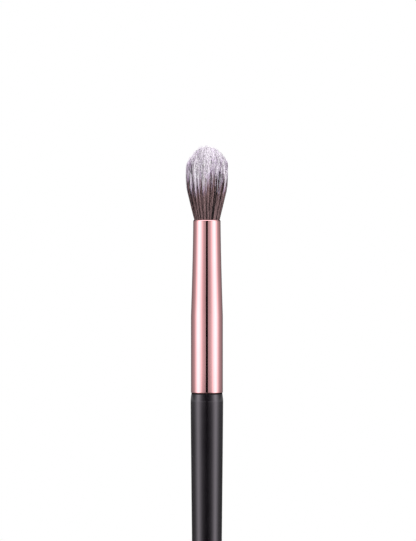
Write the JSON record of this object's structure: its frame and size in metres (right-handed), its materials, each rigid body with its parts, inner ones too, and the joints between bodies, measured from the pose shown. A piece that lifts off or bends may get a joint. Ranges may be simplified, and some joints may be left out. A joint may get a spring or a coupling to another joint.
{
  "type": "eyeshadow brush",
  "caption": "Eyeshadow blending brush with a domed tuft of fine filaments bound into a drawn, tapered ferrule on a slim turned handle with a rounded butt",
  "frame": {"origin": "the lowest point of the handle's rounded butt, on the brush's axis", "axes": "+Z runs along the brush from the butt to the tip of the tuft; +X and +Y are two equal directions across it"},
  "size_m": [0.0095, 0.0095, 0.1749],
  "materials": {
    "handle_lacquer": "turned hardwood under a black satin lacquer",
    "adhesive": "cured, slightly cloudy",
    "ferrule_metal": "polished, pink-gold anodised",
    "epoxy": "cured, translucent amber",
    "thread": "waxed thread",
    "filament": "fine tapered filaments, mauve-brown at the root and pale lilac at the tip"
  },
  "bodies": {
    "root": {"handle": "handle_lacquer", "tenon_glue": "adhesive", "ferrule": "ferrule_metal", "root_epoxy": "epoxy", "binding_thread": "thread", "bristles": "filament"}
  },
  "joints": []
}
